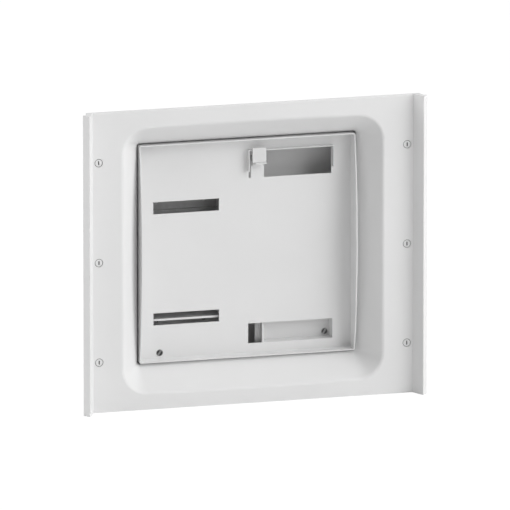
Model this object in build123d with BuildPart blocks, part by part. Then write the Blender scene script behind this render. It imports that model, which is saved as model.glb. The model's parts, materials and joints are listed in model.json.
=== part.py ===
from build123d import *

import os

# Distribution board: a moulded front frame with raised side ribs and a deep recess, a tray-shaped
# device cover set into the recess, and a steel rear housing with the mounting plate behind it.
# Millimetres. X runs to the right, Y to the back, Z up. Y = 0 is the back of the face plate,
# the plane that sits on a cabinet's uprights, and the origin is the centre of the six studs.

# Face plate of the front frame
frame_height = 501.0
face_width = 540.0
face_thickness = 4.0
face_top_radius = 2.5
wall = 3.0

# Side ribs: a slanted inner flank up to a ridge, an outer flank down to a lip, and a hollow back
rib_ridge_out = 11.4
rib_ridge_rise = 24.0
rib_lip_out = 20.3
rib_lip_rise = 13.5
rib_lip_thickness = 2.2
rib_waist_out = 14.6
rib_foot_out = 10.6
rib_wall = 2.4
rib_groove_depth = 12.5
rib_edge_radius = 0.9

# Recess in the frame, from its rim on the face plate to the well that takes the cover;
# the rim's top and bottom edges bow out to their middle, and the rim sits a little low
recess_width = 438.6
recess_height = 445.6
recess_bow = 3.0
recess_drop = 2.0
recess_corner = 42.0
recess_depth = 43.4
recess_shell = 3.8
recess_edge_radius = 6.0
well_corner = 4.5
ledge_width = 12.0

# Device cover: a flat floor, and a rim with straight ends and bowed sides
cover_width = 364.5
cover_height = 364.6
cover_gap = 2.7
cover_wall = 2.0
cover_corner = 3.0
cover_inner_corner = 2.0
cover_floor_depth = 59.0
rim_end_depth = 36.2
rim_middle_depth = 20.5

# Cut-outs in the cover's floor, placed across from its middle and along from its top or bottom edge
device_window_width = 140.0
device_window_height = 46.0
device_window_x = 78.0
device_window_below_top = 46.9
slot_width = 111.0
slot_height = 20.2
slot_x = -97.6
upper_slot_below_top = 111.0
lower_slot_above_bottom = 67.3
pocket_width = 143.0
pocket_height = 33.4
pocket_x = 78.6
pocket_above_bottom = 33.8

# Collar round the device window, and the tongue that guides the latch
collar_rise = 10.0
collar_wall = 1.1
collar_set_back = 0.9
collar_foot = 12.0
tongue_gap = 3.8
tongue_width = 22.1
tongue_shoulder = 21.0
tongue_height = 42.0
neck_width = 15.8

# Latch that slides on the tongue
latch_width = 23.2
latch_height = 24.8
latch_thickness = 2.5
latch_collar_gap = 0.3
latch_overlap = 4.4
latch_leg = 2.2
latch_leg_height = 8.0
latch_leg_drop = 1.4
latch_hook = 2.3
latch_clearance = 0.25
latch_edge_radius = 0.6
ledge_reach = 3.6
ledge_thickness = 2.2
ledge_setback = 4.0

# Pocket tray behind the lower right window
tray_depth = 22.0
tray_wall = 2.0
tray_end_wall = 2.6
tray_end_gap = 24.4
tray_flange = 4.0
tray_tab_width = 9.0
tray_tab_depth = 15.0

# Quarter-turn studs of the frame
stud_spacing_x = 520.0
stud_spacing_z = 166.5
stud_radius = 3.2
stud_bearing_radius = 3.6
stud_clearance = 0.05
stud_length = 16.0
stud_head_radius = 6.0
stud_head_height = 1.1
stud_head_edge = 0.4
stud_seat_depth = 1.9
stud_seat_radius = 6.9
stud_slot_length = 7.0
stud_slot_width = 2.0
stud_slot_depth = 2.2
stud_fork_width = 2.2
stud_fork_depth = 6.0
stud_tip_chamfer = 0.8
stud_groove_radius = 2.6
washer_radius = 6.7
washer_thickness = 0.5
retainer_radius = 5.4
retainer_thickness = 0.9
retainer_pocket_depth = 1.0
retainer_pocket_radius = 5.7
retainer_mouth = 4.4

# Quarter-turn locks of the cover and the tray
lock_from_middle = 142.8
cover_lock_above_bottom = 10.8
tray_lock_below_pocket = 9.9
lock_head_radius = 5.3
lock_head_height = 2.3
lock_well_radius = 5.7
lock_well_depth = 3.0
lock_boss_radius = 7.5
lock_boss_wall = 2.0
lock_radius = 2.5
lock_grip_radius = 4.5
lock_grip_depth = 1.6
lock_grip_width = 2.8
lock_grip_angle = 60.0
lock_wing_length = 13.0
lock_wing_width = 4.0
lock_wing_height = 3.0
lock_wing_gap = 0.8
lock_plate_gap = 0.2
lock_plate_half_width = 14.0
lock_plate_top = 12.0
lock_keyhole_play = 0.6

# Hooks along the top of the cover
hook_spacing = 200.0
hook_width = 24.0
hook_thickness = 2.5
hook_play = 0.3
hook_reach = 8.0

# Rear housing
housing_sheet = 1.2
housing_gap = 0.3
housing_lap = 13.5
housing_depth = 68.0
housing_edge_radius = 1.0
fixing_spacing = 330.0
fixing_radius = 3.25
screw_radius = 1.6
screw_hole_radius = 1.65
screw_head_radius = 3.4
screw_head_height = 2.0
screw_head_edge = 0.8
screw_drive_radius = 1.7
screw_drive_width = 0.9
screw_drive_depth = 1.1
housing_screw_spacing = 200.0
housing_screw_length = 4.3

# Cable entries in the top and bottom of the housing
entry_spacing = 100.0
entry_before_plate = 10.0
entry_count = 3
entry_radius = 10.0
entry_play = 0.05
grommet_flange_radius = 13.0
grommet_flange = 2.0
grommet_bore_radius = 8.0
grommet_edge = 0.8

# Mounting plate with the terminal rail and the terminal shelf
plate_margin = 12.5
plate_notch = 30.0
plate_thickness = 2.0
standoff_inset_x = 35.0
standoff_inset_z = 15.0
standoff_length = 24.8
standoff_radius = 6.0
plate_screw_length = 12.0
rail_length = 125.0
rail_height = 35.0
rail_depth = 7.5
rail_web = 27.0
rail_sheet = 1.0
rail_lip = 5.0
rail_screw_spacing = 80.0
rail_screw_length = 6.0
shelf_sheet = 3.1
shelf_length = 121.0
shelf_front_gap = 5.0
shelf_below_slot_centre = 3.0
shelf_flange = 16.0
shelf_screw_length = 7.0

# Earth terminal on the mounting plate
earth_place = (140.0, -60.0)
earth_radius = 3.0
earth_length = 18.0
earth_nut_flats = 10.0
earth_nut_height = 5.0
earth_nut_standoff = 6.0
earth_nut_clearance = 0.05

# Depths, sizes and places that follow from the values above
face_y = -face_thickness
well_y = face_y + recess_depth
floor_y = face_y + cover_floor_depth
floor_back_y = floor_y + cover_wall
ledge_back_y = floor_back_y + wall
rim_end_y = face_y + rim_end_depth
rim_middle_y = face_y + rim_middle_depth
well_width = cover_width + 2 * cover_gap
well_height = cover_height + 2 * cover_gap
collar_front_y = floor_y - collar_rise
tray_floor_y = floor_y + tray_depth
housing_inner_width = well_width + 2 * wall + 2 * housing_gap
housing_inner_height = well_height + 2 * wall + 2 * housing_gap
housing_width = housing_inner_width + 2 * housing_sheet
housing_height = housing_inner_height + 2 * housing_sheet
housing_front_y = ledge_back_y - housing_lap
housing_back_y = ledge_back_y + housing_depth
housing_inner_y = housing_back_y - housing_sheet
housing_screw_y = (housing_front_y + ledge_back_y) / 2
plate_back_y = housing_inner_y - standoff_length
plate_front_y = plate_back_y - plate_thickness
plate_width = housing_inner_width - 2 * plate_margin
plate_height = housing_inner_height - 2 * plate_margin
entry_y = plate_front_y - entry_before_plate
cover_top_z = cover_height / 2
device_window_z = cover_top_z - device_window_below_top
upper_slot_z = cover_top_z - upper_slot_below_top
lower_slot_z = lower_slot_above_bottom - cover_top_z
pocket_z = pocket_above_bottom - cover_top_z
device_window = (device_window_width, device_window_height, device_window_x, device_window_z)
upper_slot = (slot_width, slot_height, slot_x, upper_slot_z)
lower_slot = (slot_width, slot_height, slot_x, lower_slot_z)
pocket_window = (pocket_width, pocket_height, pocket_x, pocket_z)
lock_left = (-lock_from_middle, cover_lock_above_bottom - cover_top_z)
lock_right = (lock_from_middle, pocket_z - tray_lock_below_pocket)
stud_x = stud_spacing_x / 2
stud_places = [(side * stud_x, row * stud_spacing_z) for side in (-1, 1) for row in (1, 0, -1)]
stud_rows = ("top", "middle", "bottom")
stud_names = [f"panel_stud_{side}_{row}" for side in ("left", "right") for row in stud_rows]


def at(y):
    """Plane facing the front at depth y, with X to the right and Z up."""
    return Plane.XZ.offset(-y)


def place(window):
    """Centre of a cut-out on a front-facing plane."""
    return Location((window[2], window[3]))


def low_x(window):
    return window[2] - window[0] / 2


def low_z(window):
    return window[3] - window[1] / 2


def finish(piece, name):
    """Label a finished piece and write it."""
    piece.part.label = name
    export_step(piece.part, f"parts/{name}.step")


os.makedirs("parts", exist_ok=True)

# Lock seats: the boss behind a floor, the plate behind the boss and the wing behind the plate
lock_seats = [(lock_left, floor_y), (lock_right, tray_floor_y)]


def lock_plate_y(floor):
    """Front of the plate that a lock's wing turns behind."""
    return floor + lock_well_depth + lock_boss_wall + lock_plate_gap


# Front frame
rib_crease_x = face_width / 2
rib_ridge = (rib_crease_x + rib_ridge_out, face_y - rib_ridge_rise)
rib_lip = (rib_crease_x + rib_lip_out, face_y - rib_lip_rise)
rib_flank = Vector(rib_lip[0] - rib_ridge[0], rib_lip[1] - rib_ridge[1]).normalized()
rib_lip_back = (
    rib_lip[0] - rib_flank.Y * rib_lip_thickness,
    rib_lip[1] + rib_flank.X * rib_lip_thickness,
)
rib_waist = (rib_crease_x + rib_waist_out, rib_lip_back[1])
rib_foot = (rib_crease_x + rib_foot_out, 0)
rib_inner_lean = rib_ridge_out / rib_ridge_rise
rib_outer_lean = (rib_waist_out - rib_foot_out) / -rib_waist[1]
groove_inner_x = rib_crease_x + rib_wall
groove_outer_x = rib_foot[0] - rib_wall

with BuildPart() as front_frame:
    with BuildSketch(at(0)):
        Rectangle(face_width, frame_height)
    extrude(amount=face_thickness)
    front_edges = front_frame.edges().filter_by(Axis.X).group_by(Axis.Y)[0]
    fillet(front_edges.sort_by(Axis.Z)[-1], radius=face_top_radius)
    with BuildSketch(Plane.XY) as rib_section:
        with BuildLine():
            Polyline(
                (rib_crease_x, 0),
                (rib_crease_x, face_y),
                rib_ridge,
                rib_lip,
                rib_lip_back,
                rib_waist,
                rib_foot,
                close=True,
            )
        make_face()
        fillet(rib_section.vertices().group_by(Axis.Y)[0], radius=rib_edge_radius)
        fillet(rib_section.vertices().group_by(Axis.X)[-1], radius=rib_edge_radius)
        mirror(about=Plane.YZ)
    extrude(amount=frame_height / 2, both=True)
    with BuildSketch(Plane.XY):
        with BuildLine():
            Polyline(
                (groove_inner_x, 0),
                (groove_outer_x, 0),
                (groove_outer_x + rib_outer_lean * rib_groove_depth, -rib_groove_depth),
                (groove_inner_x + rib_inner_lean * rib_groove_depth, -rib_groove_depth),
                close=True,
            )
        make_face()
        mirror(about=Plane.YZ)
    extrude(amount=frame_height / 2 - wall, both=True, mode=Mode.SUBTRACT)
    # Outside of the recess and of the well behind it, then their inside
    for rim_shell, well_shell, end_y, step in (
        (recess_shell, wall, ledge_back_y, Mode.ADD),
        (0, 0, floor_back_y, Mode.SUBTRACT),
    ):
        rim_x = recess_width / 2 + rim_shell
        rim_top_z = recess_height / 2 + rim_shell - recess_drop
        rim_low_z = -recess_height / 2 - rim_shell - recess_drop
        with BuildSketch(at(face_y)) as recess_rim:
            with BuildLine():
                rim_top = ThreePointArc(
                    (-rim_x, rim_top_z - recess_bow),
                    (0, rim_top_z),
                    (rim_x, rim_top_z - recess_bow),
                )
                rim_bottom = ThreePointArc(
                    (rim_x, rim_low_z + recess_bow),
                    (0, rim_low_z),
                    (-rim_x, rim_low_z + recess_bow),
                )
                Line(rim_top @ 1, rim_bottom @ 0)
                Line(rim_bottom @ 1, rim_top @ 0)
            make_face()
            fillet(recess_rim.vertices(), radius=recess_corner + rim_shell)
        with BuildSketch(at(well_y)) as well_outline:
            RectangleRounded(
                well_width + 2 * well_shell,
                well_height + 2 * well_shell,
                well_corner + well_shell,
            )
        loft(ruled=True, mode=step)
        extrude(well_outline.sketch, amount=-(end_y - well_y), mode=step)
    # Opening that the ledge leaves, and the rounded edge of the rim
    with BuildSketch(at(floor_back_y)):
        RectangleRounded(well_width - 2 * ledge_width, well_height - 2 * ledge_width, well_corner)
    extrude(amount=-wall, mode=Mode.SUBTRACT)
    rim = front_frame.faces().filter_by(Plane.XZ).sort_by(SortBy.AREA)
    rim_face = [face for face in rim if abs(face.center().Y - face_y) < face_thickness / 2][-1]
    fillet(rim_face.inner_wires()[0].edges(), radius=recess_edge_radius)
    # Seats of the studs, their retainers and their bearings
    with BuildSketch(at(face_y)):
        with Locations(*stud_places):
            Circle(stud_seat_radius)
    extrude(amount=-stud_seat_depth, mode=Mode.SUBTRACT)
    with BuildSketch(at(0)):
        with Locations(*stud_places):
            Circle(retainer_pocket_radius)
    extrude(amount=retainer_pocket_depth, mode=Mode.SUBTRACT)
    with BuildSketch(at(face_y)):
        with Locations(*stud_places):
            Circle(stud_bearing_radius + stud_clearance)
    extrude(amount=-face_thickness, mode=Mode.SUBTRACT)
    # Plates behind the cover that the two locks turn against, each on a foot from the ledge
    for (lock_x, lock_z), lock_floor in lock_seats:
        plate_y = lock_plate_y(lock_floor)
        foot_z = -well_height / 2 + ledge_width
        with BuildSketch(at(plate_y)):
            with Locations((lock_x, lock_z + lock_plate_top)):
                plate_rise = lock_z + lock_plate_top - foot_z + wall
                Rectangle(2 * lock_plate_half_width, plate_rise, align=(Align.CENTER, Align.MAX))
        extrude(amount=-wall)
        with BuildSketch(at(floor_back_y)):
            with Locations((lock_x, foot_z)):
                Rectangle(2 * lock_plate_half_width, wall, align=(Align.CENTER, Align.MAX))
        extrude(amount=-(plate_y + wall - floor_back_y))
        with BuildSketch(at(plate_y)):
            with Locations((lock_x, lock_z)):
                Rectangle(lock_wing_length + lock_keyhole_play, 2 * lock_radius + lock_keyhole_play)
        extrude(amount=-wall, mode=Mode.SUBTRACT)
        with BuildSketch(at(floor_back_y)):
            with Locations((lock_x, lock_z)):
                Circle(lock_boss_radius + lock_keyhole_play)
        extrude(amount=-(plate_y - floor_back_y), mode=Mode.SUBTRACT)
    # Holes for the screws that hold the rear housing to the well
    for half in (-housing_screw_spacing / 2, housing_screw_spacing / 2):
        with BuildSketch(Plane.YZ):
            with Locations((housing_screw_y, half)):
                Circle(screw_hole_radius)
        extrude(amount=well_width, both=True, mode=Mode.SUBTRACT)
        with BuildSketch(Plane.XY):
            with Locations((half, housing_screw_y)):
                Circle(screw_hole_radius)
        extrude(amount=well_height, both=True, mode=Mode.SUBTRACT)
finish(front_frame, "front_frame")

# Device cover
cover_inner_width = cover_width - 2 * cover_wall
cover_inner_height = cover_height - 2 * cover_wall
rim_depth = floor_y - rim_middle_y
rim_bow = rim_end_y - rim_middle_y
rim_bow_radius = (cover_height**2 / 4 + rim_bow**2) / (2 * rim_bow)
window_left_x = low_x(device_window)
window_low_z = low_z(device_window)
collar_low_z = window_low_z + collar_foot
collar_inner_width = device_window[0] + 2 * collar_set_back
collar_inner_height = device_window[1] - collar_foot + collar_set_back
tongue_x = window_left_x + tongue_gap + tongue_width / 2
hook_z = well_height / 2 - ledge_width - hook_play

# Rim of the cover: its sides bow forward in one arc from the bottom to the top
with BuildPart() as cover_rim:
    with BuildSketch(at(floor_y)):
        RectangleRounded(cover_width, cover_height, cover_corner)
        RectangleRounded(cover_inner_width, cover_inner_height, cover_inner_corner, mode=Mode.SUBTRACT)
    extrude(amount=2 * rim_depth)
    with BuildSketch(Plane.YZ):
        with Locations((rim_middle_y + rim_bow_radius, 0)):
            Circle(rim_bow_radius)
    extrude(amount=cover_width, both=True, mode=Mode.INTERSECT)
finish(cover_rim, "cover_rim")

# Floor of the cover with its cut-outs
with BuildPart() as device_cover:
    with BuildSketch(at(floor_back_y)):
        RectangleRounded(cover_width, cover_height, cover_corner)
        for window in (device_window, upper_slot, lower_slot, pocket_window):
            with Locations(place(window)):
                Rectangle(window[0], window[1], mode=Mode.SUBTRACT)
    extrude(amount=cover_wall)
    # Collar on three sides of the device window
    with BuildSketch(at(floor_back_y)):
        with Locations((device_window[2], collar_low_z)):
            Rectangle(
                collar_inner_width + 2 * collar_wall,
                collar_inner_height + collar_wall,
                align=(Align.CENTER, Align.MIN),
            )
            Rectangle(
                collar_inner_width,
                collar_inner_height,
                align=(Align.CENTER, Align.MIN),
                mode=Mode.SUBTRACT,
            )
    extrude(amount=cover_wall + collar_rise)
    # Tongue standing up from the window's lower edge, with the latch's neck above its shoulder
    with BuildSketch(at(floor_back_y)):
        with Locations((tongue_x, window_low_z)):
            Rectangle(tongue_width, tongue_shoulder, align=(Align.CENTER, Align.MIN))
            Rectangle(neck_width, tongue_height, align=(Align.CENTER, Align.MIN))
    extrude(amount=cover_wall)
    # Boss of the left lock
    with BuildSketch(at(floor_y)):
        with Locations(lock_left):
            Circle(lock_boss_radius)
    extrude(amount=-(lock_well_depth + lock_boss_wall))
    with BuildSketch(at(floor_y)):
        with Locations(lock_left):
            Circle(lock_well_radius)
    extrude(amount=-lock_well_depth, mode=Mode.SUBTRACT)
    with BuildSketch(at(floor_y)):
        with Locations(lock_left):
            Circle(lock_radius + stud_clearance)
    extrude(amount=-(lock_well_depth + lock_boss_wall), mode=Mode.SUBTRACT)
    # Hooks that reach behind the frame's top ledge
    with BuildSketch(at(floor_back_y)):
        with GridLocations(hook_spacing, 0, 2, 1):
            with Locations((0, hook_z)):
                Rectangle(hook_width, hook_thickness, align=(Align.CENTER, Align.MAX))
    extrude(amount=-(wall + hook_play + hook_thickness))
    with BuildSketch(at(ledge_back_y + hook_play)):
        with GridLocations(hook_spacing, 0, 2, 1):
            with Locations((0, hook_z - hook_thickness)):
                Rectangle(hook_width, hook_thickness + hook_reach, align=(Align.CENTER, Align.MIN))
    extrude(amount=-hook_thickness)
finish(device_cover, "device_cover")

# Latch on the tongue: a front plate with a finger ledge, and legs that hook behind the neck
latch_back_y = collar_front_y - latch_collar_gap
latch_top_z = collar_low_z + collar_inner_height + collar_wall + latch_overlap
latch_low_z = latch_top_z - latch_height
leg_low_z = latch_low_z + latch_leg_drop
leg_x = neck_width / 2 + latch_clearance
ledge_width_x = latch_width - ledge_setback

with BuildPart() as latch_slider:
    with BuildSketch(at(latch_back_y)):
        with Locations((tongue_x, latch_low_z)):
            Rectangle(latch_width, latch_height, align=(Align.CENTER, Align.MIN))
    extrude(amount=latch_thickness)
    fillet(latch_slider.edges().group_by(Axis.Y)[0], radius=latch_edge_radius)
    with BuildSketch(at(latch_back_y)):
        with Locations((tongue_x + latch_width / 2, latch_low_z)):
            Rectangle(ledge_width_x, ledge_thickness, align=(Align.MAX, Align.MAX))
    extrude(amount=latch_thickness + ledge_reach)
    fillet(latch_slider.edges().group_by(Axis.Y)[0], radius=latch_edge_radius)
    for side in (-1, 1):
        leg_start = tongue_x + side * leg_x
        leg_align = Align.MIN if side > 0 else Align.MAX
        hook_align = Align.MAX if side > 0 else Align.MIN
        with BuildSketch(at(latch_back_y)):
            with Locations((leg_start, leg_low_z)):
                Rectangle(latch_leg, latch_leg_height, align=(leg_align, Align.MIN))
        extrude(amount=-(floor_back_y + latch_clearance + latch_leg - latch_back_y))
        for hook_front in (floor_back_y + latch_clearance, floor_y - latch_clearance - latch_leg):
            with BuildSketch(at(hook_front)):
                with Locations((leg_start, leg_low_z)):
                    Rectangle(latch_hook, latch_leg_height, align=(hook_align, Align.MIN))
            extrude(amount=-latch_leg)
finish(latch_slider, "latch_slider")

# Pocket tray behind the lower right window
tray_left_x = low_x(pocket_window) + tray_end_gap
tray_right_x = low_x(pocket_window) + pocket_window[0]
tray_inner_width = tray_right_x - tray_left_x - tray_end_wall
tray_inner_x = tray_right_x - tray_inner_width / 2
tray_outer_x = (tray_left_x + tray_right_x + tray_wall) / 2
tray_outer_width = tray_right_x + tray_wall - tray_left_x
tray_outer_height = pocket_window[1] + 2 * tray_wall
tray_length = tray_floor_y + tray_wall - floor_back_y

with BuildPart() as pocket_tray:
    with BuildSketch(at(floor_back_y)):
        with Locations((tray_outer_x, pocket_window[3])):
            Rectangle(tray_outer_width, tray_outer_height)
    extrude(amount=-tray_length)
    with BuildSketch(at(floor_back_y)):
        with Locations((tray_left_x, pocket_window[3])):
            Rectangle(
                tray_outer_width + tray_flange,
                tray_outer_height + 2 * tray_flange,
                align=(Align.MIN, Align.CENTER),
            )
    extrude(amount=-tray_wall)
    with BuildSketch(at(floor_back_y)):
        with Locations((tray_inner_x, pocket_window[3])):
            Rectangle(tray_inner_width, pocket_window[1])
    extrude(amount=-(tray_floor_y - floor_back_y), mode=Mode.SUBTRACT)
    # End tab to the left of the tray, part way down its outside
    with BuildSketch(at(floor_y + tray_tab_depth)):
        with Locations((tray_left_x, pocket_window[3])):
            Rectangle(tray_tab_width, tray_outer_height, align=(Align.MAX, Align.CENTER))
    extrude(amount=-tray_wall)
    # Boss of the right lock
    with BuildSketch(at(tray_floor_y)):
        with Locations(lock_right):
            Circle(lock_boss_radius)
    extrude(amount=-(lock_well_depth + lock_boss_wall))
    with BuildSketch(at(tray_floor_y)):
        with Locations(lock_right):
            Circle(lock_well_radius)
    extrude(amount=-lock_well_depth, mode=Mode.SUBTRACT)
    with BuildSketch(at(tray_floor_y)):
        with Locations(lock_right):
            Circle(lock_radius + stud_clearance)
    extrude(amount=-(lock_well_depth + lock_boss_wall), mode=Mode.SUBTRACT)
finish(pocket_tray, "pocket_tray")

# Quarter-turn studs, with the head's slot upright as it stands when locked
stud_seat_y = face_y + stud_seat_depth
stud_head_y = stud_seat_y - washer_thickness
stud_groove_y = -retainer_pocket_depth
for stud_name, (x, z) in zip(stud_names, stud_places):
    with BuildPart() as panel_stud:
        with BuildSketch(at(stud_head_y)):
            with Locations((x, z)):
                Circle(stud_head_radius)
        extrude(amount=stud_head_height)
        fillet(panel_stud.edges().group_by(Axis.Y)[0], radius=stud_head_edge)
        with BuildSketch(at(stud_head_y)):
            with Locations((x, z)):
                Circle(stud_bearing_radius)
        extrude(amount=-(stud_groove_y - stud_head_y))
        with BuildSketch(at(stud_groove_y)):
            with Locations((x, z)):
                Circle(stud_groove_radius)
        extrude(amount=-retainer_pocket_depth)
        with BuildSketch(at(0)):
            with Locations((x, z)):
                Circle(stud_radius)
        extrude(amount=-stud_length)
        chamfer(panel_stud.edges().group_by(Axis.Y)[-1], length=stud_tip_chamfer)
        with BuildSketch(at(stud_head_y - stud_head_height)):
            with Locations((x, z)):
                SlotOverall(stud_slot_length, stud_slot_width, rotation=90)
        extrude(amount=-stud_slot_depth, mode=Mode.SUBTRACT)
        with BuildSketch(at(stud_length - stud_fork_depth)):
            with Locations((x, z)):
                Rectangle(stud_fork_width, 2 * stud_radius)
        extrude(amount=-stud_fork_depth, mode=Mode.SUBTRACT)
    finish(panel_stud, stud_name)

# Washers under the heads of the studs
with BuildPart() as stud_washers:
    with BuildSketch(at(stud_seat_y)):
        with Locations(*stud_places):
            Circle(washer_radius)
            Circle(stud_bearing_radius + stud_clearance, mode=Mode.SUBTRACT)
    extrude(amount=washer_thickness)
finish(stud_washers, "stud_washers")

# Retaining rings of the studs, flush with the back of the face plate
with BuildPart() as stud_retainers:
    with BuildSketch(at(stud_groove_y)):
        with Locations(*stud_places):
            Circle(retainer_radius)
            Circle(stud_groove_radius + stud_clearance, mode=Mode.SUBTRACT)
            with Locations((0, -retainer_radius / 2)):
                Rectangle(retainer_mouth, retainer_radius, mode=Mode.SUBTRACT)
    extrude(amount=-retainer_thickness)
finish(stud_retainers, "stud_retainers")

# Quarter-turn locks of the cover and the tray
for lock_name, ((x, z), lock_floor) in zip(("cover_lock", "tray_lock"), lock_seats):
    seat_y = lock_floor + lock_well_depth
    wing_y = lock_plate_y(lock_floor) + wall + lock_wing_gap
    with BuildPart() as quarter_lock:
        with BuildSketch(at(seat_y)):
            with Locations((x, z)):
                Circle(lock_head_radius)
        extrude(amount=lock_head_height)
        fillet(quarter_lock.edges().group_by(Axis.Y)[0], radius=stud_head_edge)
        with BuildSketch(at(seat_y - lock_head_height)):
            with Locations(Location((x, z), lock_grip_angle)):
                Circle(lock_grip_radius)
                Rectangle(2 * lock_grip_radius, lock_grip_width, mode=Mode.SUBTRACT)
        extrude(amount=-lock_grip_depth, mode=Mode.SUBTRACT)
        with BuildSketch(at(seat_y)):
            with Locations((x, z)):
                Circle(lock_radius)
        extrude(amount=-(wing_y + lock_wing_height - seat_y))
        with BuildSketch(at(wing_y)):
            with Locations((x, z)):
                SlotOverall(lock_wing_length, lock_wing_width, rotation=90)
        extrude(amount=-lock_wing_height)
    finish(quarter_lock, lock_name)

# Rear housing: two sides, a top, a bottom and a back, joined along their edges
entry_places = [((i - (entry_count - 1) / 2) * entry_spacing, entry_y) for i in range(entry_count)]
housing_side_depth = housing_inner_y - housing_front_y

for housing_name, side in (("housing_left", -1), ("housing_right", 1)):
    with BuildPart() as housing_side:
        with BuildSketch(Plane.YZ.offset(side * housing_inner_width / 2)):
            with Locations((housing_front_y, 0)):
                Rectangle(housing_side_depth, housing_height, align=(Align.MIN, Align.CENTER))
            with Locations((housing_screw_y, 0)):
                with GridLocations(0, housing_screw_spacing, 1, 2):
                    Circle(screw_hole_radius, mode=Mode.SUBTRACT)
        extrude(amount=side * housing_sheet)
        long_edges = housing_side.edges().filter_by(GeomType.LINE).filter_by(Axis.Y).group_by(Axis.X)
        fillet(long_edges[-1] if side > 0 else long_edges[0], radius=housing_edge_radius)
    finish(housing_side, housing_name)

for housing_name, side in (("housing_top", 1), ("housing_bottom", -1)):
    with BuildPart() as housing_end:
        with BuildSketch(Plane.XY.offset(side * housing_inner_height / 2)):
            with Locations((0, housing_front_y)):
                Rectangle(housing_inner_width, housing_side_depth, align=(Align.CENTER, Align.MIN))
            with Locations(*entry_places):
                Circle(entry_radius, mode=Mode.SUBTRACT)
            with Locations((0, housing_screw_y)):
                with GridLocations(housing_screw_spacing, 0, 2, 1):
                    Circle(screw_hole_radius, mode=Mode.SUBTRACT)
        extrude(amount=side * housing_sheet)
    finish(housing_end, housing_name)

with BuildPart() as housing_back:
    with BuildSketch(at(housing_inner_y)):
        RectangleRounded(housing_width, housing_height, housing_edge_radius)
        with GridLocations(fixing_spacing, fixing_spacing, 2, 2):
            Circle(fixing_radius, mode=Mode.SUBTRACT)
    extrude(amount=-housing_sheet)
finish(housing_back, "housing_back")


def screw(length):
    """Pan-head screw with its seat at Z = 0 and its shank going down."""
    with BuildPart() as piece:
        with BuildSketch(Plane.XY):
            Circle(screw_head_radius)
        extrude(amount=screw_head_height)
        fillet(piece.edges().group_by(Axis.Z)[-1], radius=screw_head_edge)
        with BuildSketch(Plane.XY.offset(screw_head_height)):
            Rectangle(2 * screw_drive_radius, screw_drive_width)
            Rectangle(screw_drive_width, 2 * screw_drive_radius)
        extrude(amount=-screw_drive_depth, mode=Mode.SUBTRACT)
        with BuildSketch(Plane.XY):
            Circle(screw_radius)
        extrude(amount=-length)
    return piece.part


def facing_front(x, y, z):
    """Seat of a screw that is driven from the front."""
    return Plane((x, y, z), z_dir=(0, -1, 0))


# Screws that hold the housing to the frame's well, on its four sides
housing_screw = screw(housing_screw_length)
housing_screw_seats = []
for side in (-1, 1):
    for along in (-housing_screw_spacing / 2, housing_screw_spacing / 2):
        side_seat = (side * housing_width / 2, housing_screw_y, along)
        end_seat = (along, housing_screw_y, side * housing_height / 2)
        housing_screw_seats.append(Plane(side_seat, z_dir=(side, 0, 0)))
        housing_screw_seats.append(Plane(end_seat, z_dir=(0, 0, side)))

with BuildPart() as housing_screws:
    for seat in housing_screw_seats:
        add(seat.location * housing_screw)
finish(housing_screws, "housing_screws")

# Cable grommets in the top and the bottom of the housing
grommet_length = housing_sheet + 2 * grommet_flange
for grommet_name, side in (("top_grommets", 1), ("bottom_grommets", -1)):
    sheet_z = side * housing_height / 2
    with BuildPart() as grommets:
        with BuildSketch(Plane.XY.offset(sheet_z + side * grommet_flange)):
            with Locations(*entry_places):
                Circle(entry_radius - entry_play)
        extrude(amount=-side * grommet_length)
        for flange_z in (sheet_z, sheet_z - side * (housing_sheet + grommet_flange)):
            with BuildSketch(Plane.XY.offset(flange_z)):
                with Locations(*entry_places):
                    Circle(grommet_flange_radius)
            extrude(amount=side * grommet_flange)
        rings = grommets.edges().filter_by(GeomType.CIRCLE).group_by(Axis.Z)
        fillet(rings[-1] if side > 0 else rings[0], radius=grommet_edge)
        with BuildSketch(Plane.XY.offset(sheet_z + side * grommet_flange)):
            with Locations(*entry_places):
                Circle(grommet_bore_radius)
        extrude(amount=-side * grommet_length, mode=Mode.SUBTRACT)
    finish(grommets, grommet_name)

# Mounting plate on four standoffs
rail_x = upper_slot[2]
rail_z = upper_slot[3]
shelf_x = lower_slot[2]
shelf_top_z = lower_slot[3] - shelf_below_slot_centre + shelf_sheet / 2
shelf_screw_z = shelf_top_z - shelf_sheet - shelf_flange / 2
shelf_front_y = floor_back_y + shelf_front_gap
rail_screw_places = [(rail_x + side * rail_screw_spacing / 2, rail_z) for side in (-1, 1)]
shelf_screw_places = [(shelf_x + side * rail_screw_spacing / 2, shelf_screw_z) for side in (-1, 1)]
standoff_x = plate_width / 2 - standoff_inset_x
standoff_z = plate_height / 2 - standoff_inset_z
standoff_places = [(i * standoff_x, j * standoff_z) for i in (-1, 1) for j in (-1, 1)]

with BuildPart() as mounting_plate:
    with BuildSketch(at(plate_back_y)):
        Rectangle(plate_width, plate_height)
        with GridLocations(plate_width - plate_notch, plate_height - plate_notch, 2, 2):
            Rectangle(plate_notch, plate_notch, mode=Mode.SUBTRACT)
        with Locations(*standoff_places, *rail_screw_places, *shelf_screw_places):
            Circle(screw_hole_radius, mode=Mode.SUBTRACT)
    extrude(amount=plate_thickness)
finish(mounting_plate, "mounting_plate")

with BuildPart() as plate_standoffs:
    with BuildSketch(at(housing_inner_y)):
        with Locations(*standoff_places):
            Circle(standoff_radius)
            Circle(screw_hole_radius, mode=Mode.SUBTRACT)
    extrude(amount=standoff_length)
finish(plate_standoffs, "plate_standoffs")

plate_screw = screw(plate_screw_length)
with BuildPart() as plate_screws:
    for x, z in standoff_places:
        add(facing_front(x, plate_front_y, z).location * plate_screw)
finish(plate_screws, "plate_screws")

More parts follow.
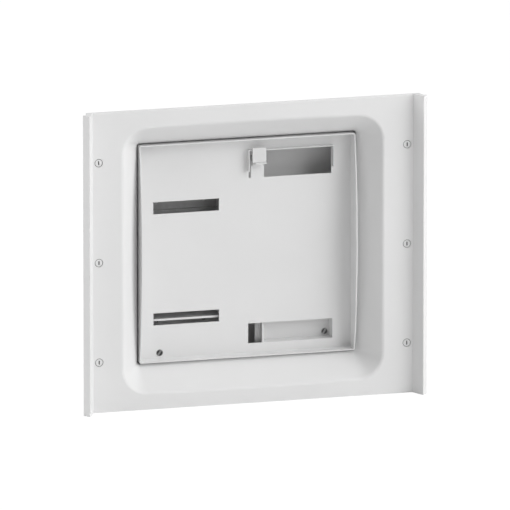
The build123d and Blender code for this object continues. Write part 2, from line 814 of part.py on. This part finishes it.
# Top-hat rail behind the upper slot
with BuildPart() as terminal_rail:
    with BuildSketch(Plane.YZ.offset(rail_x)):
        with Locations((plate_front_y, rail_z)):
            Rectangle(rail_sheet, rail_web, align=(Align.MAX, Align.CENTER))
        for side in (-1, 1):
            inward = Align.MAX if side > 0 else Align.MIN
            with Locations((plate_front_y, rail_z + side * rail_web / 2)):
                Rectangle(rail_depth, rail_sheet, align=(Align.MAX, inward))
            with Locations((plate_front_y - rail_depth, rail_z + side * rail_height / 2)):
                Rectangle(rail_sheet, rail_lip, align=(Align.MIN, inward))
    extrude(amount=rail_length / 2, both=True)
    with BuildSketch(at(plate_front_y)):
        with Locations(*rail_screw_places):
            Circle(screw_hole_radius)
    extrude(amount=rail_depth, mode=Mode.SUBTRACT)
finish(terminal_rail, "terminal_rail")

rail_screw = screw(rail_screw_length)
with BuildPart() as rail_screws:
    for x, z in rail_screw_places:
        add(facing_front(x, plate_front_y - rail_sheet, z).location * rail_screw)
finish(rail_screws, "rail_screws")

# Terminal shelf behind the lower slot, folded down at the back onto the plate
with BuildPart() as terminal_shelf:
    with BuildSketch(Plane.YZ.offset(shelf_x)):
        with Locations((plate_front_y, shelf_top_z)):
            Rectangle(plate_front_y - shelf_front_y, shelf_sheet, align=(Align.MAX, Align.MAX))
            Rectangle(shelf_sheet, shelf_sheet + shelf_flange, align=(Align.MAX, Align.MAX))
    extrude(amount=shelf_length / 2, both=True)
    with BuildSketch(at(plate_front_y)):
        with Locations(*shelf_screw_places):
            Circle(screw_hole_radius)
    extrude(amount=shelf_sheet, mode=Mode.SUBTRACT)
finish(terminal_shelf, "terminal_shelf")

shelf_screw = screw(shelf_screw_length)
with BuildPart() as shelf_screws:
    for x, z in shelf_screw_places:
        add(facing_front(x, plate_front_y - shelf_sheet, z).location * shelf_screw)
finish(shelf_screws, "shelf_screws")

# Earth terminal: a stud on the mounting plate with its nut
with BuildPart() as earth_stud:
    with BuildSketch(at(plate_front_y)):
        with Locations(earth_place):
            Circle(earth_radius)
    extrude(amount=earth_length)
    chamfer(earth_stud.edges().group_by(Axis.Y)[0], length=stud_tip_chamfer)
finish(earth_stud, "earth_stud")

with BuildPart() as earth_nut:
    with BuildSketch(at(plate_front_y - earth_nut_standoff)):
        with Locations(earth_place):
            RegularPolygon(earth_nut_flats / 2, 6, major_radius=False)
            Circle(earth_radius + earth_nut_clearance, mode=Mode.SUBTRACT)
    extrude(amount=earth_nut_height)
finish(earth_nut, "earth_nut")
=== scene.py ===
import json
import math

import bpy
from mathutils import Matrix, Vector


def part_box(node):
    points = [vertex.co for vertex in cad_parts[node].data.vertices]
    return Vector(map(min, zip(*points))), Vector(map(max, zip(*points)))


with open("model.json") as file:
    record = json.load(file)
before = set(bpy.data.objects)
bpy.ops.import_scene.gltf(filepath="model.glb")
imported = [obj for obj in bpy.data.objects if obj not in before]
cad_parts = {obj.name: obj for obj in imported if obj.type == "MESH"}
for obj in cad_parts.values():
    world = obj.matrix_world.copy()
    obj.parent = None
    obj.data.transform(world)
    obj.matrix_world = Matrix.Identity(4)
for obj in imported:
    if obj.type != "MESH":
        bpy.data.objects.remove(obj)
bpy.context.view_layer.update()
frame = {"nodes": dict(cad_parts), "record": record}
nodes = frame["nodes"]

# Middle of the face plate's front, which the camera and the lamps face
FACE_CENTRE = Vector((0.0, -0.004, 0.0))

# The camera stands to the left of the board and a little above it, with a long lens
CAMERA_AZIMUTH = math.radians(-15.3)
CAMERA_ELEVATION = math.radians(13.4)
CAMERA_DISTANCE = 23.44
CAMERA_LENS = 1016.0
AIM_RIGHT = 0.0025
AIM_UP = -0.0026

# Soft lamps, in front at the right and a little behind at the left;
# level sets the light that a face turned to the lamp gets
KEY_LAMP = {
    "name": "key",
    "direction": Vector((0.74, -0.58, 0.55)),
    "distance": 5.0,
    "size": 5.0,
    "level": 0.80,
}
RIM_LAMP = {
    "name": "rim",
    "direction": Vector((-0.92, 0.16, 0.36)),
    "distance": 3.5,
    "size": 1.2,
    "level": 0.32,
}

# Light all round, stronger from above than from the horizon
WORLD_HORIZON = 0.20
WORLD_ABOVE = 0.66

# The floor glows where it is seen, so that it reads as white, and the rest of it takes shadow
FLOOR_SIZE = 60.0
FLOOR_ALBEDO = 0.92
FLOOR_GLOW = 1.06
FLOOR_GLOW_SHARE = 0.9

# Range that most of a noise pattern's values lie in
NOISE_LOW = 0.3
NOISE_HIGH = 0.7

# Satin mouldings shine a little less than the shader's usual plastic
MOULDING_SPECULAR = 0.35

# Depths at which the light coat on the front of the studs and the locks begins to fade into the
# dark core, and ends; the dark is painted shade in their slots and recesses
COAT_TO_SHADE_FADE = 0.0004
COAT_TO_SHADE_END = 0.0006


def shader_inputs(mat):
    """The sockets of the material's shader."""
    return mat.node_tree.nodes["Principled BSDF"].inputs


def material(name, color, roughness, metallic=0.0):
    """A node material with its constant values on the shader's own sockets."""
    mat = bpy.data.materials.new(name)
    mat.use_nodes = True
    sockets = shader_inputs(mat)
    sockets["Base Color"].default_value = (*color, 1.0)
    sockets["Roughness"].default_value = roughness
    sockets["Metallic"].default_value = metallic
    return mat


def add_node(mat, kind, **values):
    """A node whose named inputs are set to the given values."""
    node = mat.node_tree.nodes.new(kind)
    for key, value in values.items():
        node.inputs[key.replace("_", " ")].default_value = value
    return node


def join(mat, source, target):
    mat.node_tree.links.new(source, target)


def noise(mat, scale, detail=4.0):
    """Noise in the object's own coordinates, in metres."""
    place = mat.node_tree.nodes.new("ShaderNodeTexCoord")
    pattern = add_node(mat, "ShaderNodeTexNoise", Scale=scale, Detail=detail, Roughness=0.55)
    join(mat, place.outputs["Object"], pattern.inputs["Vector"])
    return pattern.outputs["Fac"]


def ramp(mat, source, low, high, start=NOISE_LOW, end=NOISE_HIGH):
    """Colour that runs from low to high as the source goes from start to end."""
    node = mat.node_tree.nodes.new("ShaderNodeValToRGB")
    stops = node.color_ramp.elements
    stops[0].position, stops[0].color = start, (*low, 1.0)
    stops[1].position, stops[1].color = end, (*high, 1.0)
    join(mat, source, node.inputs["Fac"])
    return node.outputs["Color"]


def vary_color(mat, source, color, dark, light, **span):
    """Base colour that goes from dark to light times the given colour as the source rises."""
    low, high = (tuple(channel * factor for channel in color) for factor in (dark, light))
    join(mat, ramp(mat, source, low, high, **span), shader_inputs(mat)["Base Color"])


def vary_roughness(mat, source, roughness, less, more):
    """Roughness that goes from less below the given value to more above it as the source rises."""
    node = add_node(
        mat,
        "ShaderNodeMapRange",
        From_Min=NOISE_LOW,
        From_Max=NOISE_HIGH,
        To_Min=roughness - less,
        To_Max=roughness + more,
    )
    join(mat, source, node.inputs["Value"])
    join(mat, node.outputs["Result"], shader_inputs(mat)["Roughness"])


def bump(mat, source, height, strength):
    """Relief on the surface, with its height in metres."""
    node = add_node(mat, "ShaderNodeBump", Strength=strength, Distance=height)
    join(mat, source, node.inputs["Height"])
    join(mat, node.outputs["Normal"], shader_inputs(mat)["Normal"])


def tone(level):
    """Neutral grey of the given level."""
    return (level, level, level)


def moulding(name, color, roughness):
    """Moulded plastic: slow drift of tone, fine satin grain and a slightly uneven gloss."""
    mat = material(name, color, roughness)
    shader_inputs(mat)["Specular IOR Level"].default_value = MOULDING_SPECULAR
    drift = noise(mat, scale=7.0, detail=3.0)
    grain = noise(mat, scale=1400.0, detail=2.0)
    vary_color(mat, drift, color, dark=0.985, light=1.012)
    vary_roughness(mat, drift, roughness, less=0.04, more=0.04)
    bump(mat, grain, height=0.00004, strength=0.25)
    return mat


def powder_coat(name, color, roughness):
    """Painted sheet: orange-peel relief with a faint mottle."""
    mat = material(name, color, roughness)
    mottle = noise(mat, scale=18.0)
    peel = noise(mat, scale=520.0, detail=2.0)
    vary_color(mat, mottle, color, dark=0.97, light=1.02)
    vary_roughness(mat, mottle, roughness, less=0.05, more=0.06)
    bump(mat, peel, height=0.00008, strength=0.5)
    return mat


def galvanised(name, color, roughness, cell):
    """Zinc coat with its pattern of crystals, of which cell is the size in metres."""
    mat = material(name, color, roughness, metallic=0.55)
    place = mat.node_tree.nodes.new("ShaderNodeTexCoord")
    spangle = add_node(mat, "ShaderNodeTexVoronoi", Scale=1.0 / cell)
    split = mat.node_tree.nodes.new("ShaderNodeSeparateColor")
    join(mat, place.outputs["Object"], spangle.inputs["Vector"])
    join(mat, spangle.outputs["Color"], split.inputs["Color"])
    crystal = split.outputs["Red"]
    vary_color(mat, crystal, color, dark=0.90, light=1.06, start=0.0, end=1.0)
    vary_roughness(mat, crystal, roughness, less=0.06, more=0.08)
    bump(mat, noise(mat, scale=260.0), height=0.00003, strength=0.3)
    return mat


def turned_metal(name, color, roughness):
    """Plated or bare metal with fine tool marks and worn patches."""
    mat = material(name, color, roughness, metallic=0.9)
    marks = noise(mat, scale=900.0)
    wear = noise(mat, scale=120.0)
    vary_color(mat, wear, color, dark=0.85, light=1.1)
    vary_roughness(mat, wear, roughness, less=0.08, more=0.10)
    bump(mat, marks, height=0.00003, strength=0.35)
    return mat


def coat_and_shade_metal(name, node, face, core_and_shade, roughness, metallic):
    """Metal with a light coat on the node's front face, and a dark colour in its slot and behind
    it, which is painted shade in the slot and recesses.
    """
    mat = material(name, tone(core_and_shade), roughness, metallic)
    low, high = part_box(node)
    depth = high[1] - low[1]
    place = mat.node_tree.nodes.new("ShaderNodeTexCoord")
    split = mat.node_tree.nodes.new("ShaderNodeSeparateXYZ")
    join(mat, place.outputs["Generated"], split.inputs["Vector"])
    # Past the front face the colour turns dark: painted shade in the slots and recesses
    coat_and_shade = ramp(
        mat, split.outputs["Y"], tone(face), tone(core_and_shade), COAT_TO_SHADE_FADE / depth, COAT_TO_SHADE_END / depth
    )
    join(mat, coat_and_shade, shader_inputs(mat)["Base Color"])
    wear = noise(mat, scale=300.0)
    vary_roughness(mat, wear, roughness, less=0.06, more=0.06)
    bump(mat, wear, height=0.00003, strength=0.3)
    return mat


def rubber(name, color, roughness):
    """Matt rubber with a dusty bloom."""
    mat = material(name, color, roughness)
    bloom = noise(mat, scale=160.0)
    vary_color(mat, bloom, color, dark=0.8, light=1.6)
    vary_roughness(mat, bloom, roughness, less=0.1, more=0.05)
    bump(mat, noise(mat, scale=700.0), height=0.00006, strength=0.4)
    return mat


# One finish for each material slot of the record
finishes = {
    "frame_moulding": moulding("frame_moulding", tone(0.74), roughness=0.48),
    "cover_moulding": moulding("cover_moulding", tone(0.73), roughness=0.46),
    "latch_moulding": moulding("latch_moulding", tone(0.71), roughness=0.42),
    # The studs and the locks are painted dark in their slots and recesses to stand for shade
    "stud_steel": coat_and_shade_metal(
        "stud_steel", "panel_stud_left_top", face=0.72, core_and_shade=0.10, roughness=0.42, metallic=0.0
    ),
    "lock_steel": coat_and_shade_metal(
        "lock_steel", "cover_lock", face=0.23, core_and_shade=0.06, roughness=0.45, metallic=0.4
    ),
    # Near-black washers are painted shade: they stand for the shadowed gap round each stud head
    "washer_rubber": rubber("washer_rubber", tone(0.05), roughness=0.7),
    "spring_steel": turned_metal("spring_steel", tone(0.42), roughness=0.35),
    "housing_paint": powder_coat("housing_paint", tone(0.76), roughness=0.45),
    "zinc_screws": turned_metal("zinc_screws", tone(0.58), roughness=0.32),
    "plate_paint": powder_coat("plate_paint", tone(0.78), roughness=0.5),
    "rail_steel": galvanised("rail_steel", tone(0.50), roughness=0.5, cell=0.006),
    "shelf_paint": powder_coat("shelf_paint", tone(0.84), roughness=0.42),
    "grommet_rubber": rubber("grommet_rubber", tone(0.03), roughness=0.75),
    "earth_brass": turned_metal("earth_brass", (0.66, 0.48, 0.20), roughness=0.34),
}
for part in frame["record"]["subparts"]:
    slots = nodes[part["node"]].data.materials
    slots.clear()
    slots.append(finishes[part["material_slot"]])

# The lock on the pocket's floor is the paler of the two, and it has the same painted shade in its
# recesses
nodes["tray_lock"].data.materials[0] = coat_and_shade_metal(
    "tray_lock_coat_and_shade", "tray_lock", face=0.42, core_and_shade=0.14, roughness=0.45, metallic=0.4
)


def seen_as_white(tree):
    """1 for the rays that show the background, from the camera or by way of metal and glass."""
    path = tree.nodes.new("ShaderNodeLightPath")
    total = path.outputs["Is Camera Ray"]
    for kind in ("Is Glossy Ray", "Is Transmission Ray"):
        node = tree.nodes.new("ShaderNodeMath")
        node.operation = "MAXIMUM"
        tree.links.new(total, node.inputs[0])
        tree.links.new(path.outputs[kind], node.inputs[1])
        total = node.outputs["Value"]
    return total


def make_world():
    """White behind the object, and a soft light on it from all round."""
    world = bpy.data.worlds.new("studio")
    bpy.context.scene.world = world
    world.use_nodes = True
    tree = world.node_tree
    light = tree.nodes["Background"]
    light.inputs["Color"].default_value = (1.0, 1.0, 1.0, 1.0)
    place = tree.nodes.new("ShaderNodeTexCoord")
    split = tree.nodes.new("ShaderNodeSeparateXYZ")
    sky = tree.nodes.new("ShaderNodeMapRange")
    sky.inputs["To Min"].default_value = WORLD_HORIZON
    sky.inputs["To Max"].default_value = WORLD_ABOVE
    level = tree.nodes.new("ShaderNodeMapRange")
    tree.links.new(place.outputs["Generated"], split.inputs["Vector"])
    tree.links.new(split.outputs["Z"], sky.inputs["Value"])
    tree.links.new(sky.outputs["Result"], level.inputs["To Min"])
    tree.links.new(seen_as_white(tree), level.inputs["Value"])
    tree.links.new(level.outputs["Result"], light.inputs["Strength"])


def make_floor(height):
    """Pale floor that reads as white and keeps a faint shadow of the object."""
    half = FLOOR_SIZE / 2
    mesh = bpy.data.meshes.new("floor")
    corners = [
        (-half, -half, height),
        (half, -half, height),
        (half, half, height),
        (-half, half, height),
    ]
    mesh.from_pydata(corners, [], [(0, 1, 2, 3)])
    floor = bpy.data.objects.new("floor", mesh)
    bpy.context.scene.collection.objects.link(floor)
    mat = bpy.data.materials.new("floor")
    mat.use_nodes = True
    tree = mat.node_tree
    output = tree.nodes["Material Output"]
    tree.nodes.remove(tree.nodes["Principled BSDF"])
    matt = tree.nodes.new("ShaderNodeBsdfDiffuse")
    matt.inputs["Color"].default_value = (FLOOR_ALBEDO, FLOOR_ALBEDO, FLOOR_ALBEDO, 1.0)
    glow = tree.nodes.new("ShaderNodeEmission")
    glow.inputs["Strength"].default_value = FLOOR_GLOW
    share = tree.nodes.new("ShaderNodeMath")
    share.operation = "MULTIPLY"
    share.inputs[1].default_value = FLOOR_GLOW_SHARE
    blend = tree.nodes.new("ShaderNodeMixShader")
    tree.links.new(seen_as_white(tree), share.inputs[0])
    tree.links.new(share.outputs["Value"], blend.inputs["Fac"])
    tree.links.new(matt.outputs["BSDF"], blend.inputs[1])
    tree.links.new(glow.outputs["Emission"], blend.inputs[2])
    tree.links.new(blend.outputs["Shader"], output.inputs["Surface"])
    mesh.materials.append(mat)


def make_lamp(target, name, direction, distance, size, level):
    """Large soft lamp that faces the target."""
    lamp = bpy.data.lights.new(name, "AREA")
    lamp.shape = "DISK"
    lamp.size = size
    lamp.energy = level * (math.pi * distance) ** 2
    holder = bpy.data.objects.new(name, lamp)
    bpy.context.scene.collection.objects.link(holder)
    towards = direction.normalized()
    holder.location = target + towards * distance
    holder.rotation_mode = "QUATERNION"
    holder.rotation_quaternion = (-towards).to_track_quat("-Z", "Y")


def make_camera(target):
    """Camera at the photograph's angle, aimed a little off the target to place it in the frame."""
    back = Vector((
        math.sin(CAMERA_AZIMUTH) * math.cos(CAMERA_ELEVATION),
        -math.cos(CAMERA_AZIMUTH) * math.cos(CAMERA_ELEVATION),
        math.sin(CAMERA_ELEVATION),
    ))
    turn = (-back).to_track_quat("-Z", "Y")
    aim = target + turn @ Vector((AIM_RIGHT, AIM_UP, 0.0))
    data = bpy.data.cameras.new("camera")
    data.lens = CAMERA_LENS
    data.clip_end = 2 * CAMERA_DISTANCE
    camera = bpy.data.objects.new("camera", data)
    bpy.context.scene.collection.objects.link(camera)
    camera.location = aim + back * CAMERA_DISTANCE
    camera.rotation_mode = "QUATERNION"
    camera.rotation_quaternion = turn
    bpy.context.scene.camera = camera


frame_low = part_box("front_frame")[0]
make_world()
make_floor(frame_low[2])
make_lamp(FACE_CENTRE, **KEY_LAMP)
make_lamp(FACE_CENTRE, **RIM_LAMP)
make_camera(FACE_CENTRE)
bpy.context.scene.view_settings.view_transform = "Standard"
